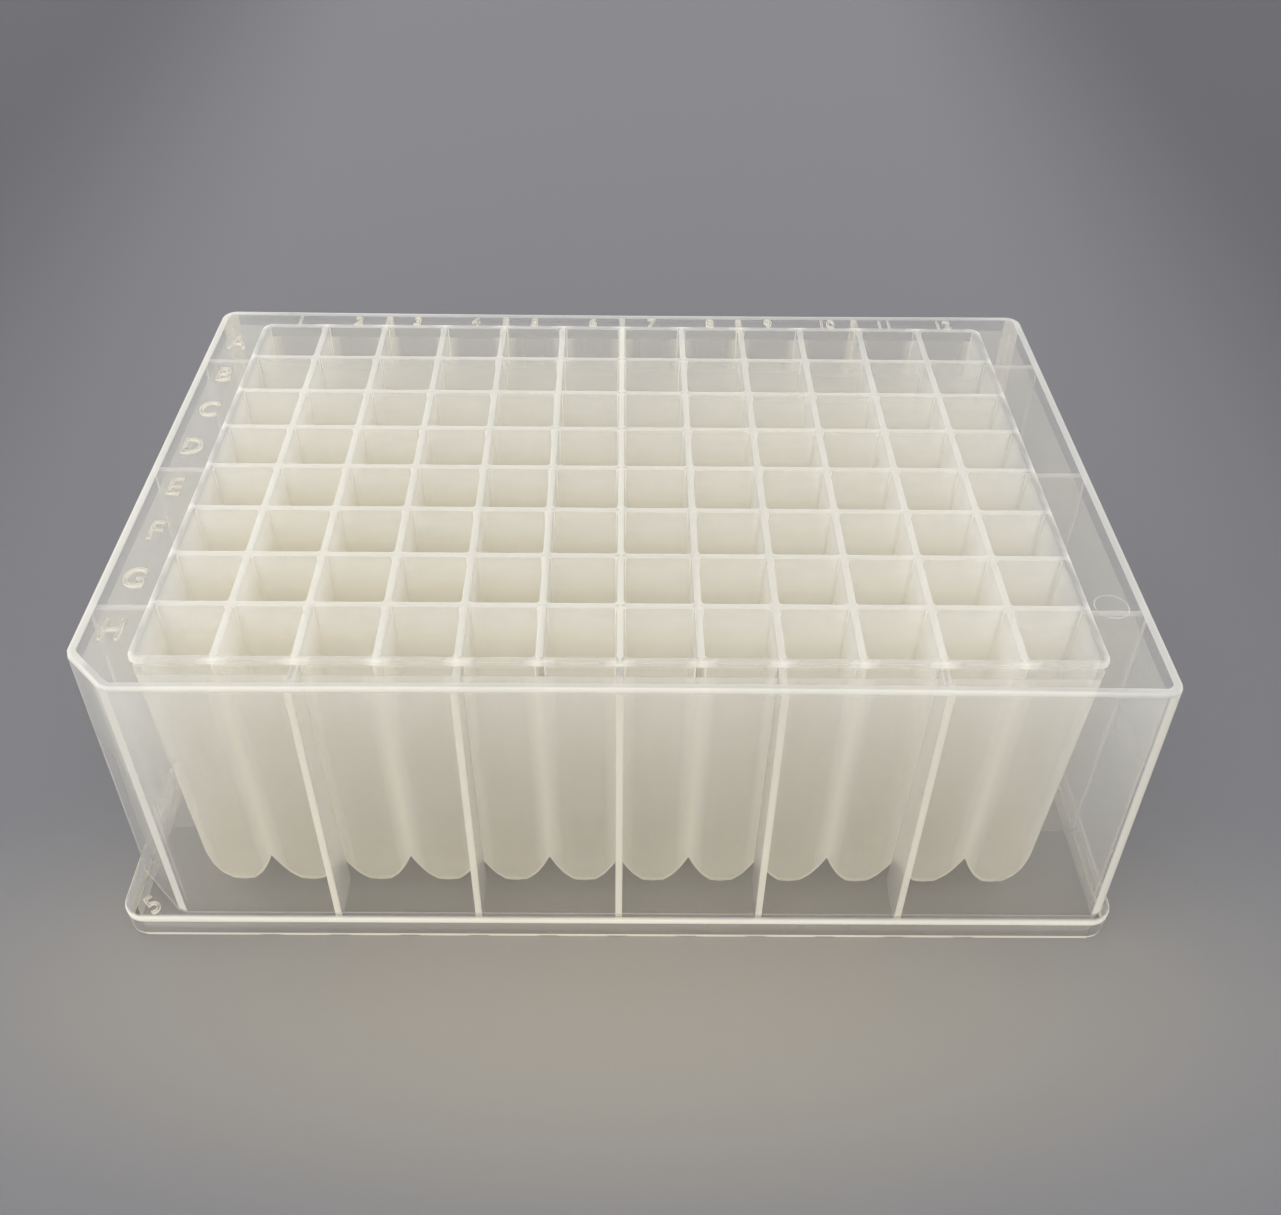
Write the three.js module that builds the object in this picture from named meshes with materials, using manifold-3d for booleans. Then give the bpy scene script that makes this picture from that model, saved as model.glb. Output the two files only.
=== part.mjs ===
// 96-well deep-well plate, one injection moulding in natural polypropylene.
// Millimetres, +Z up. The origin is the centre of the footprint on the surface that the plate stands on.
// Columns 1-12 run along +X, rows A-H run from +Y to -Y, and the cut corner is beside well H1.
import * as THREE from 'three';
import { mergeVertices } from 'three/addons/utils/BufferGeometryUtils.js';
import Module from 'manifold-3d';

// Outside
const plateHeight = 44.0;                   // from the foot to the rims of the wells
const footprint = { x: 127.76, y: 85.48 };  // foot flange
const footCorner = 3.0;
const flangeHeight = 4.1;
const flangeEdge = 0.4;                     // broken edge along the top of the flange
const flangeWall = 1.3;

// Skirt, which widens from its top to the flange
const skirtTop = { x: 123.1, y: 81.5 };
const skirtFoot = { x: 125.5, y: 83.9 };
const skirtCorner = 2.0;
const skirtWall = 1.1;
const skirtEdge = 0.3;                      // broken edge along the top of the skirt
const skirtBelowRims = 0.25;
const cutCorner = { top: 5.6, foot: 6.8 };  // legs of the cut corner beside H1
const cutCornerBlend = 1.2;                 // radius where the cut meets the two sides

// Deck between the skirt and the block of wells
const deckBelowRims = 0.75;
const deckThickness = 1.2;

// Wells
const columns = 12;
const rows = 8;
const pitch = 9.0;
const wellMouth = 8.13;                     // across the flats at the rim
const wellWaist = 7.7;                      // across the flats where the rounded bottom begins
const wellCornerCut = 0.65;
const wellFacets = 5;                       // facets round the U of a well's bottom
const floorEndBreak = 0.7;                  // how far the floor stops short of the end walls

// Outside of the block of wells
const rimWall = 0.95;                       // outer wall of the block at the rims
const bottomRadius = 4.51;                  // each column's rounded underside
const bottomClearance = 2.45;               // from the foot to the lowest line of the wells
const bottomFacets = 5;
const floorThickness = 0.85;
const blockCorner = 1.5;
const rowNotch = 1.1;                       // half width and depth of the notches between the wells' bottoms
const endBreak = 0.6;                       // the same break along the block's two long lower edges

// Ribs under the deck, from the block to the skirt
const ribThickness = 0.9;
const ribColumns = [2, 4, 6, 8, 10];        // after these columns, on the two long sides
const ribRows = [1, 4, 7];                  // after these rows, on the two short sides
const ribBite = 0.25;                       // how far a rib runs into the block's wall

const overcut = 1.0;                        // how far a cutter runs past what it cuts
const cornerSegments = 3;

// Worked out from the values above
const skirtHeight = plateHeight - skirtBelowRims;
const deckTop = plateHeight - deckBelowRims;
const deckUnderside = deckTop - deckThickness;
const ledgeUnderside = flangeHeight - flangeWall;
const waistHeight = bottomClearance + bottomRadius;
const floorHeight = bottomClearance + floorThickness;
const columnX = (column) => (column - (columns + 1) / 2) * pitch;
const rowY = (row) => ((rows + 1) / 2 - row) * pitch;
const blockSize = (around) => ({ x: (columns - 1) * pitch + around, y: (rows - 1) * pitch + around });
const blockRims = blockSize(wellMouth + 2 * rimWall);
const blockWaist = blockSize(2 * bottomRadius);

const natural = new THREE.MeshStandardMaterial({ color: 0xdbd8cb, roughness: 0.35, metalness: 0 });

const between = (low, high, t) => low + (high - low) * t;

// Closed solid through outlines that all have the same number of points, lowest section first
function loftGeometry(sections) {
  const count = sections[0].outline.length;
  const position = sections.flatMap(({ z, outline }) => outline.flatMap((point) => [point.x, point.y, z]));
  const index = [];
  for (let level = 0; level < sections.length - 1; level += 1) {
    for (let i = 0; i < count; i += 1) {
      const a = level * count + i;
      const b = level * count + ((i + 1) % count);
      index.push(a, b, b + count, a, b + count, a + count);
    }
  }
  const top = (sections.length - 1) * count;
  for (const [a, b, c] of THREE.ShapeUtils.triangulateShape(sections[0].outline, [])) index.push(a, c, b);
  for (const [a, b, c] of THREE.ShapeUtils.triangulateShape(sections.at(-1).outline, [])) {
    index.push(top + a, top + b, top + c);
  }
  const geometry = new THREE.BufferGeometry();
  geometry.setAttribute('position', new THREE.Float32BufferAttribute(position, 3));
  geometry.setIndex(index);
  return geometry;
}

// Rounded rectangle centred on the origin, anticlockwise from its lower right corner
function roundedRectangle(size, radius) {
  const x = size.x / 2 - radius;
  const y = size.y / 2 - radius;
  const shape = new THREE.Shape();
  shape.absarc(x, -y, radius, -Math.PI / 2, 0);
  shape.absarc(x, y, radius, 0, Math.PI / 2);
  shape.absarc(-x, y, radius, Math.PI / 2, Math.PI);
  shape.absarc(-x, -y, radius, Math.PI, 1.5 * Math.PI);
  return arcPoints(shape);
}

// The same rectangle with its lower left corner cut off at 45 degrees, the cut's two ends blended
function cutRectangle(size, radius, leg, blend) {
  const x = size.x / 2 - radius;
  const y = size.y / 2 - radius;
  const reach = blend * Math.tan(Math.PI / 8);
  const shape = new THREE.Shape();
  shape.absarc(x, -y, radius, -Math.PI / 2, 0);
  shape.absarc(x, y, radius, 0, Math.PI / 2);
  shape.absarc(-x, y, radius, Math.PI / 2, Math.PI);
  shape.absarc(-size.x / 2 + blend, -size.y / 2 + leg + reach, blend, Math.PI, 1.25 * Math.PI);
  shape.absarc(-size.x / 2 + leg + reach, -size.y / 2 + blend, blend, 1.25 * Math.PI, 1.5 * Math.PI);
  return arcPoints(shape);
}

// Points of a shape that is made of arcs joined by straight lines
function arcPoints(shape) {
  return shape.curves.filter((curve) => curve.isEllipseCurve).flatMap((arc) => arc.getPoints(cornerSegments));
}

const wasm = await Module();
wasm.setup();

function toSolid(geometry) {
  geometry.deleteAttribute('normal');
  geometry.deleteAttribute('uv');
  const merged = mergeVertices(geometry, 1e-4);
  return new wasm.Manifold(new wasm.Mesh({
    numProp: 3,
    vertProperties: new Float32Array(merged.attributes.position.array),
    triVerts: new Uint32Array(merged.index.array),
  }));
}

function toMesh(solid, name, material) {
  const { vertProperties, triVerts } = solid.getMesh();
  const geometry = new THREE.BufferGeometry();
  geometry.setAttribute('position', new THREE.BufferAttribute(vertProperties, 3));
  geometry.setIndex(new THREE.BufferAttribute(triVerts, 1));
  const flat = geometry.toNonIndexed();
  flat.computeVertexNormals();
  const mesh = new THREE.Mesh(flat, material);
  mesh.name = name;
  return mesh;
}

const loft = (sections) => toSolid(loftGeometry(sections));

// Section of the skirt at height z, moved inwards by inset
function skirtSection(z, inset) {
  const t = (z - flangeHeight) / (skirtHeight - flangeHeight);
  const size = {
    x: between(skirtFoot.x, skirtTop.x, t) - 2 * inset,
    y: between(skirtFoot.y, skirtTop.y, t) - 2 * inset,
  };
  const leg = between(cutCorner.foot, cutCorner.top, t) - inset * (2 - Math.SQRT2);
  const radius = Math.max(skirtCorner - inset, skirtCorner / 3);
  const blend = Math.max(cutCornerBlend - inset, cutCornerBlend / 3);
  return { z, outline: cutRectangle(size, radius, leg, blend) };
}

// Section of the flange, moved inwards by inset
function flangeSection(z, inset) {
  const size = { x: footprint.x - 2 * inset, y: footprint.y - 2 * inset };
  return { z, outline: roundedRectangle(size, footCorner - inset) };
}

// Skirt and flange as one full body, before it is hollowed
function buildOutside() {
  const flange = loft([
    flangeSection(0, 0),
    flangeSection(flangeHeight - flangeEdge, 0),
    flangeSection(flangeHeight, flangeEdge),
  ]);
  const skirt = loft([
    skirtSection(ledgeUnderside, 0),
    skirtSection(skirtHeight - skirtEdge, 0),
    skirtSection(skirtHeight, skirtEdge),
  ]);
  return flange.add(skirt);
}

// What the mould's core takes out from below, and the shallow tray above the deck
function buildHollows() {
  const underFlange = loft([flangeSection(-overcut, flangeWall), flangeSection(ledgeUnderside, flangeWall)]);
  const underDeck = loft([skirtSection(-overcut, skirtWall), skirtSection(deckUnderside, skirtWall)]);
  const tray = loft([skirtSection(deckTop, skirtWall), skirtSection(plateHeight + overcut, skirtWall)]);
  return underFlange.add(underDeck).add(tray);
}

// Extrusion along Y of a shape drawn in X (across) and Z (up), centred on y = 0
function alongY(shape, length, curveSegments) {
  const geometry = new THREE.ExtrudeGeometry(shape, { depth: length, bevelEnabled: false, curveSegments });
  geometry.rotateX(Math.PI / 2);
  geometry.translate(0, length / 2, 0);
  return geometry;
}

// Extrusion along X of a shape drawn in Y (across) and Z (up), centred on x = 0
function alongX(shape, length) {
  const geometry = new THREE.ExtrudeGeometry(shape, { depth: length, bevelEnabled: false });
  geometry.rotateX(Math.PI / 2);
  geometry.rotateZ(Math.PI / 2);
  geometry.translate(-length / 2, 0, 0);
  return geometry;
}

// A prism along X with its ridge up, which notches the underside at y
function notchAcross(y, reach) {
  const foot = bottomClearance - overcut;
  const shape = new THREE.Shape([
    new THREE.Vector2(y - reach - overcut, foot),
    new THREE.Vector2(y + reach + overcut, foot),
    new THREE.Vector2(y, bottomClearance + reach),
  ]);
  return toSolid(alongX(shape, blockRims.x + 2 * overcut));
}

// The block of wells from outside: drafted walls over one U-shaped underside for each column
function buildBlock() {
  const drafted = (z, t) => {
    const size = { x: between(blockWaist.x, blockRims.x, t), y: between(blockWaist.y, blockRims.y, t) };
    return { z, outline: roundedRectangle(size, blockCorner) };
  };
  const walls = loft([
    drafted(bottomClearance - overcut, 0),
    drafted(waistHeight, 0),
    drafted(plateHeight, 1),
  ]);

  // Neighbouring undersides meet in a cusp halfway between the columns
  const cusp = Math.asin(pitch / 2 / bottomRadius);
  const scallops = new THREE.Shape();
  const halfWidth = blockRims.x / 2 + overcut;
  scallops.moveTo(halfWidth, plateHeight + overcut);
  scallops.lineTo(-halfWidth, plateHeight + overcut);
  scallops.lineTo(-halfWidth, waistHeight);
  for (let column = 1; column <= columns; column += 1) {
    const from = column === 1 ? Math.PI : 1.5 * Math.PI - cusp;
    const to = column === columns ? 2 * Math.PI : 1.5 * Math.PI + cusp;
    scallops.absarc(columnX(column), waistHeight, bottomRadius, from, to);
  }
  scallops.lineTo(halfWidth, waistHeight);
  let block = walls.intersect(toSolid(alongY(scallops, blockRims.y + 2 * overcut, bottomFacets)));

  for (let row = 1; row < rows; row += 1) {
    block = block.subtract(notchAcross(rowY(row) - pitch / 2, rowNotch));
  }
  for (const side of [-1, 1]) block = block.subtract(notchAcross((side * blockWaist.y) / 2, endBreak));
  return block;
}

// Square outline with its corners cut, around a well's axis
function wellOutline(x, y, halfX, halfY, cut) {
  const corners = [
    [halfX - cut, -halfY], [halfX, -halfY + cut], [halfX, halfY - cut], [halfX - cut, halfY],
    [-halfX + cut, halfY], [-halfX, halfY - cut], [-halfX, -halfY + cut], [-halfX + cut, -halfY],
  ];
  return corners.map(([dx, dy]) => new THREE.Vector2(x + dx, y + dy));
}

// The space inside a well: a drafted square shaft that ends in a U running along Y
function buildWell(x, y) {
  const waist = wellWaist / 2;
  const mouthFlare = (wellMouth - wellWaist) / 2 / (plateHeight - waistHeight);
  const openHalf = wellMouth / 2 + mouthFlare * overcut;
  const step = Math.PI / wellFacets;
  const lastRing = Math.floor(wellFacets / 2);
  const depth = (waistHeight - floorHeight) / Math.sin(lastRing * step);
  const openEnd = wellOutline(x, y, openHalf, openHalf, wellCornerCut);
  const sections = [{ z: plateHeight + overcut, outline: openEnd }];
  for (let ring = 0; ring <= lastRing; ring += 1) {
    const halfX = waist * Math.cos(ring * step);
    const halfY = ring === lastRing ? waist - floorEndBreak : waist;
    const cut = Math.min(wellCornerCut, halfX / 2);
    const outline = wellOutline(x, y, halfX, halfY, cut);
    sections.unshift({ z: waistHeight - depth * Math.sin(ring * step), outline });
  }
  return loft(sections);
}

function buildWells() {
  let wells = null;
  for (let column = 1; column <= columns; column += 1) {
    for (let row = 1; row <= rows; row += 1) {
      const well = buildWell(columnX(column), rowY(row));
      wells = wells ? wells.add(well) : well;
    }
  }
  return wells;
}

// Upright plates from the block's wall out to the middle of the skirt's wall
function buildRibs() {
  const plate = (inner, outer) => new THREE.Shape([
    new THREE.Vector2(inner, ledgeUnderside),
    new THREE.Vector2(outer, ledgeUnderside),
    new THREE.Vector2(outer, deckUnderside + deckThickness / 2),
    new THREE.Vector2(inner, deckUnderside + deckThickness / 2),
  ]);
  const ribs = [];
  for (const side of [-1, 1]) {
    const longSide = plate(side * (blockWaist.y / 2 - ribBite), (side * skirtFoot.y) / 2);
    const shortSide = plate(side * (blockWaist.x / 2 - ribBite), (side * skirtFoot.x) / 2);
    for (const column of ribColumns) {
      ribs.push(toSolid(alongX(longSide, ribThickness).translate(columnX(column) + pitch / 2, 0, 0)));
    }
    for (const row of ribRows) {
      ribs.push(toSolid(alongY(shortSide, ribThickness).translate(0, rowY(row) - pitch / 2, 0)));
    }
  }
  const midWall = loft([skirtSection(0, skirtWall / 2), skirtSection(skirtHeight, skirtWall / 2)]);
  return ribs.reduce((all, rib) => all.add(rib)).intersect(midWall);
}

const plate = buildOutside()
  .subtract(buildHollows())
  .add(buildBlock())
  .add(buildRibs())
  .subtract(buildWells());

const group = new THREE.Group();
group.add(toMesh(plate, 'well_plate', natural));

export default group;
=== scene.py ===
import math

import bmesh
import bpy
import numpy as np
from mathutils import Matrix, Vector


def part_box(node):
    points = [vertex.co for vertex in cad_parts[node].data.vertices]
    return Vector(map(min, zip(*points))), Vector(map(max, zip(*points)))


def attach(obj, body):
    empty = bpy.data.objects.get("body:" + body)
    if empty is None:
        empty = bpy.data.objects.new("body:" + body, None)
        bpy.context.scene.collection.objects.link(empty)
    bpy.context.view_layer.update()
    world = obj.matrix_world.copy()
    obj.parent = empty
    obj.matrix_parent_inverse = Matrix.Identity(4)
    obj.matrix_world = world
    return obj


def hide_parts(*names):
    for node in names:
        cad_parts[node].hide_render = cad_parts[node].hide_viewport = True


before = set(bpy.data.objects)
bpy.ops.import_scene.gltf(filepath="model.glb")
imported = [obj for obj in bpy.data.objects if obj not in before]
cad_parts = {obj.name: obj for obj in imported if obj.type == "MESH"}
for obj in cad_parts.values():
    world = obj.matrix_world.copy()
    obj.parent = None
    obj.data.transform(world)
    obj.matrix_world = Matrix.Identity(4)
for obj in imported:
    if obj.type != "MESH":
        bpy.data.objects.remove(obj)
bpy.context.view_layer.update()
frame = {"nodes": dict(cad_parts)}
print("frame loaded:", ", ".join(frame["nodes"]))

# All sizes below are in millimetres and the meshes are written in metres
metre = 0.001
lowCorner, highCorner = (np.array(corner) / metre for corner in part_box("well_plate"))
flangeHalf = (highCorner - lowCorner)[:2] / 2
rimHeight = highCorner[2]
# A rounded edge's middle point lies this share of its radius in from both faces, and a point
# towards one of its ends lies this near to one face and this far from the other
arcShare = 0.3
arcNear, arcFar = 0.1, 0.55

# The wells and the block that they make together
block = {
    "columns": 12,
    "rows": 8,
    "pitch": 9.0,
    "mouth": 8.13,           # across the flats at the rim
    "waist": 7.7,            # across the flats where the round bottom begins
    "mouthRadius": 0.45,     # corners of a well
    "edge": 0.14,            # rounding round the mouths and along the block's top
    "outerWall": 0.95,
    "corner": 1.5,
    "bottomHalf": 4.51,      # half the width of a column where its round underside begins
    "bottomRise": 5.7,       # and how far that is above the column's lowest line
    "bottomPower": 2.05,     # 2 for a parabola, more for a flatter one
    "waistRise": 0.2,        # from the top of the round underside up to the waist
    "clearance": 2.45,       # from the foot to the lowest line of the wells
    "floor": 0.85,
    "floorEnd": 6.0,         # how squarely the round floor meets the two end walls
    "notch": 1.1,            # break between the bottoms of two rows
    "endBreak": 0.6,         # and along the block's two long sides
    "columnSteps": 10,       # grid steps across one cell
    "notchSteps": (0, 0.2, 0.6, 1),  # grid lines over a notch, as shares of it
    "floorSteps": (1, 0.96, 0.88, 0.74, 0.55, 0.3, 0),  # rings over a well's floor, from its edge
    # Rings down the block's outside, closer towards its lower edge, as shares of the height left
    "wallSteps": (1, 0.7, 0.45, 0.25, 0.12, 0.07, 0.04, 0.02, 0.008, 0),
    "paintedLightDepth": 5.0,      # how far below the rims a well's walls are milkiest, painted light against the shade down the walls
}

# Skirt, deck and foot flange round the block
shell = {
    "belowRims": 0.25,       # from the rims of the wells down to the skirt's top edge
    "topHalf": (61.55, 40.75),
    "footHalf": (62.75, 41.95),
    "corner": 2.0,
    "wall": 1.1,
    "cutTop": 5.6,           # legs of the cut corner
    "cutFoot": 6.8,
    "cutBlend": 1.8,
    "bow": 0.35,             # how far the middle of a long side draws in at the top
    "topEdge": 0.3,
    "innerEdge": 0.14,
    "rimHighlight": 0.48,         # from the skirt's face in to the end of the rim's painted highlight line
    "longRimEnd": 3.0,       # from a short side in to where the long sides' clearer rim starts
    "fillet": 0.28,
    "deckBelowRims": 0.75,
    "deck": 1.2,
    "deckSteps": (0.35, 0.7, 1),  # rings across the deck, as shares of the way
    "hazeTop": 0.6,          # from the skirt's top edge down to where its haze begins
    "hazeLevels": (8, 18, 30),  # heights of the rings that carry the haze further down
    "flangeHeight": 4.1,
    "flangeWall": 1.3,
    "flangeEdge": 0.4,
    "flangeCorner": 3.0,
    "flangeHighlight": (0.96, 1.12),  # below the flange's top: its painted highlight band ends, and is gone
    "footEdge": 0.15,
    "footHighlightBand": (0.54, 0.63),    # the same for the painted highlight above the foot
    "footLine": 0.225,       # and the painted highlight's end on the underside, from the face inwards
}

# How milky each kind of surface looks: the share of the light that it scatters, seen square on. Some
# entries are painted highlights, glints, light or shade, as marked
cloud = {
    "rim": 0.38,
    "middleRim": 0.62,       # walls near the middle are looked down into along their length
    "rimEdge": 0.45,
    "blockRim": 0.227,       # the rim along the outside of the block
    "well": 0.4,             # on the walls between two wells
    "backShade": 0.5,         # painted shade: how much clearer, and so darker, the walls get towards row A
    "backWell": 0.117,       # on the thin outer walls along the two long sides
    "endWell": 0.328,        # and along the two short sides
    "wellTop": 0.6,          # a well's walls against these values, just under the rims
    "wellPaintedLight": 1.3,       # and where they are milkiest, painted light against the shade further down
    "wellCorner": 0.58,
    "floor": 0.391,
    "underside": 0.835,
    "blockWall": 0.248,
    "columnBand": 0.444,     # added where a wall between two columns stands behind
    "bandWidth": 1.1,
    "lowerEdge": 0.735,      # along the round lower edge of the block
    "glow": 0.171,           # added above that edge, fading upwards
    "glowHeight": 1.2,
    "deck": 0.097,
    "skirt": 0.08,
    "haze": 0.062,           # added towards the skirt's top
    "endHaze": (0.2, 0.15),  # and at the ends of the long sides, towards -X and +X
    "endReach": (4.0, 1.0),  # from this far inside the block's end to this far beyond it
    "longRim": 0.308,        # the flat top of the skirt along its two long sides
    "skirtRim": 0.518,       # and elsewhere
    "rimHighlight": 0.56,         # painted highlight, drawn as milkiness, on the rounded edge outside it
    "skirtFoot": 0.4,        # the line where the skirt meets the ledge
    "cutEdge": 0.55,         # along the two upright edges of the cut corner
    "cornerBand": 0.75,      # up the other corners, where the next wall is seen edge on
    "innerBands": 0.4,       # how milky the same bands are on the skirt's inner face
    "ledge": 0.016,
    "flange": 0.172,
    "flangeHighlight": 0.95,      # painted highlight, drawn as milkiness, on the round upper edge of the flange
    "flangeEdgeHighlight": 0.57,      # painted highlight on the line above it, at the ledge
    # painted highlight, drawn as milkiness, along the flange's foot
    "footHighlight": 0.97,
    "rib": 0.16,
    "ribTop": 0.293,
    "ribEnd": 0.774,
    "sideRib": 0.08,         # the ribs towards -X and +X
    "sideRibEnd": 0.3,
    "mark": 0.12,
    "markGlint": 0.65,        # painted glint, drawn as milkiness, on the upright sides of the raised marks
    "pinRing": 0.3,
}

skirtTop = rimHeight - shell["belowRims"]
deckTop = rimHeight - shell["deckBelowRims"]
deckUnder = deckTop - shell["deck"]
ledgeUnder = shell["flangeHeight"] - shell["flangeWall"]
waistHeight = block["clearance"] + block["bottomRise"] + block["waistRise"]
floorHeight = block["clearance"] + block["floor"]
counts = np.array([block["columns"], block["rows"]])
rimsHalf = (counts - 1) * block["pitch"] / 2 + block["mouth"] / 2 + block["outerWall"]
waistHalf = (counts - 1) * block["pitch"] / 2 + block["bottomHalf"]
halfPitch = block["pitch"] / 2


class Skin:
    # Collects grids of points with their cloudiness, painted light included, then welds them into one
    # mesh

    def __init__(self):
        self.points, self.cloud, self.quads, self.count = [], [], [], 0

    def add(self, points, clouds, closed):
        # points is (..., rows, around, 3): one or several grids, each closed round its rows or open
        rows, around = points.shape[-3:-1]
        grids = points.reshape(-1, rows, around, 3)
        clouds = np.broadcast_to(clouds, grids.shape[:3])
        index = self.count + np.arange(grids[..., 0].size).reshape(grids.shape[:3])
        nextOne = np.roll(index, -1, axis=2)
        if not closed:
            index, nextOne = index[:, :, :-1], nextOne[:, :, :-1]
        corners = [index[:, :-1], nextOne[:, :-1], nextOne[:, 1:], index[:, 1:]]
        self.points.append(grids.reshape(-1, 3))
        self.cloud.append(clouds.ravel())
        self.quads.append(np.stack(corners, axis=-1).reshape(-1, 4))
        self.count += grids[..., 0].size

    def mesh(self, name):
        points = np.concatenate(self.points)
        clouds = np.concatenate(self.cloud)
        quads = np.concatenate(self.quads)
        # Points that are the same to a micrometre become one, as milky as the milkiest of them
        keys, first, same = np.unique(
            np.round(points, 3), axis=0, return_index=True, return_inverse=True)
        same = same.ravel()
        welded = np.zeros(len(keys))
        np.maximum.at(welded, same, clouds)
        # Of the faces, those that keep four or three different corners stay
        quads = same[quads]
        sides = 1 + (np.diff(np.sort(quads, axis=1), axis=1) > 0).sum(axis=1)
        faces = quads[sides == 4].tolist()
        faces += [list(dict.fromkeys(face)) for face in quads[sides == 3].tolist()]
        data = bpy.data.meshes.new(name)
        data.from_pydata((points[first] * metre).tolist(), [], faces)
        layer = data.attributes.new("cloud", "FLOAT", "POINT")
        layer.data.foreach_set("value", welded.astype(np.float32))
        return data


def lineUp(cell, count, reach):
    # Grid lines of the whole block: one cell's lines repeated at every cell's centre, with the
    # outermost two moved out to the block's face at -reach and reach
    centres = (np.arange(count) - (count - 1) / 2) * block["pitch"]
    lines = np.append((centres[:, None] + cell[:-1]).ravel(), centres[-1] + cell[-1])
    lines[0], lines[-1] = -reach, reach
    return lines


def roundCorners(x, y, halfX, halfY, radius):
    # Square corner zones pressed into quarter circles: in a zone, u and v run from 0 to 1 towards
    # its two faces, and u becomes u * sqrt(1 - v^2 / 2), v becomes v * sqrt(1 - u^2 / 2)
    u = np.clip((np.abs(x) - halfX + radius) / radius, 0, 1)
    v = np.clip((np.abs(y) - halfY + radius) / radius, 0, 1)
    inZone = (u > 0) & (v > 0)
    roundX = np.sign(x) * (halfX - radius + radius * u * np.sqrt(1 - v * v / 2))
    roundY = np.sign(y) * (halfY - radius + radius * v * np.sqrt(1 - u * u / 2))
    return np.where(inZone, roundX, x), np.where(inZone, roundY, y)


def walk(stepsX, stepsY):
    # Grid indices once round a rectangle, anticlockwise from its lower left corner
    alongX, alongY = np.arange(stepsX), np.arange(stepsY)
    i = np.concatenate([alongX, np.full(stepsY, stepsX), stepsX - alongX, np.zeros(stepsY, int)])
    j = np.concatenate([np.zeros(stepsX, int), alongY, np.full(stepsX, stepsY), stepsY - alongY])
    return i, j


# Lines across one cell: at the sines of even angles in X, so that they are closer towards the
# sides of the U, and at its middle and over the two notches in Y
cellX = halfPitch * np.sin(np.linspace(-math.pi / 2, math.pi / 2, block["columnSteps"] + 1))
nearNotch = halfPitch - block["notch"] * np.array(block["notchSteps"])
cellY = np.concatenate([-nearNotch, [0], nearNotch[::-1]])
stepsX, stepsY = len(cellX) - 1, len(cellY) - 1
gridX, gridY = stepsX * block["columns"], stepsY * block["rows"]
borderI, borderJ = walk(gridX, gridY)
ringI, ringJ = walk(stepsX, stepsY)


def blockRing(half, offset=0.0):
    # The block's outline with its corners rounded, moved outwards by offset
    halfX, halfY = half[0] + offset, half[1] + offset
    x = lineUp(cellX, block["columns"], halfX)[borderI]
    y = lineUp(cellY, block["rows"], halfY)[borderJ]
    return np.stack(roundCorners(x, y, halfX, halfY, block["corner"] + offset), axis=-1)


def blockHalf(z):
    # Half sizes of the block at height z, which grow evenly from the waist to the rims
    t = np.clip((z - waistHeight) / (rimHeight - waistHeight), 0, 1)
    return waistHalf + (rimsHalf - waistHalf) * t


cornerPoints, cutPoints = 3, 5  # grid steps on each side of a corner that go into its curve
cornerSteps, cutSteps = (0, 8, 26, 45, 64, 82, 90), (0, 5, 40, 45)  # degrees round each curve


def arc(centreX, centreY, radius, start, steps):
    # Points on a circle: centre + radius * (cos, sin) of the start angle plus each step
    angles = np.radians(start + np.asarray(steps))
    return np.stack([centreX + radius * np.cos(angles), centreY + radius * np.sin(angles)], axis=-1)


def outline(halfX, halfY, radius, leg=0.0, blend=0.0):
    # Rounded rectangle with a point for each border point of the block's grid. Its lower left
    # corner is an arc, or a 45 degree cut of this leg whose two ends are blended
    x, y = halfX - radius, halfY - radius
    if leg:
        reach = blend * math.tan(math.pi / 8)
        first = arc(-halfX + blend, -halfY + leg + reach, blend, 180, cutSteps)
        last = arc(-halfX + leg + reach, -halfY + blend, blend, 225, cutSteps)
        middle = 2 * (cutPoints - len(cutSteps)) + 1
        between = np.linspace(first[-1], last[0], middle + 2)[1:-1]
        lowerLeft = np.concatenate([first, between, last])
    else:
        lowerLeft = arc(-x, -y, radius, 180, np.linspace(0, 90, 2 * cutPoints + 1))
    lowerRight = arc(x, -y, radius, 270, cornerSteps)
    upperRight = arc(x, y, radius, 0, cornerSteps)
    upperLeft = arc(-x, y, radius, 90, cornerSteps)
    linesX = lineUp(cellX, block["columns"], waistHalf[0])
    linesY = lineUp(cellY, block["rows"], waistHalf[1])

    def side(lines, start, end, axis):
        # The straight stretch between two corners, with its points on the grid's own lines
        if start[axis] > end[axis]:
            lines = lines[::-1]
        points = np.tile(start, (len(lines), 1))
        points[:, axis] = lines
        return points

    afterCut = slice(cutPoints + 1, -cornerPoints - 1)
    afterCorner = slice(cornerPoints + 1, -cornerPoints - 1)
    loop = np.concatenate([
        lowerLeft, side(linesX[afterCut], lowerLeft[-1], lowerRight[0], 0),
        lowerRight, side(linesY[afterCorner], lowerRight[-1], upperRight[0], 1),
        upperRight, side(linesX[afterCorner], upperRight[-1], upperLeft[0], 0),
        upperLeft, side(linesY[afterCut], upperLeft[-1], lowerLeft[0], 1),
    ])
    return np.roll(loop, -cutPoints, axis=0)


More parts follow.
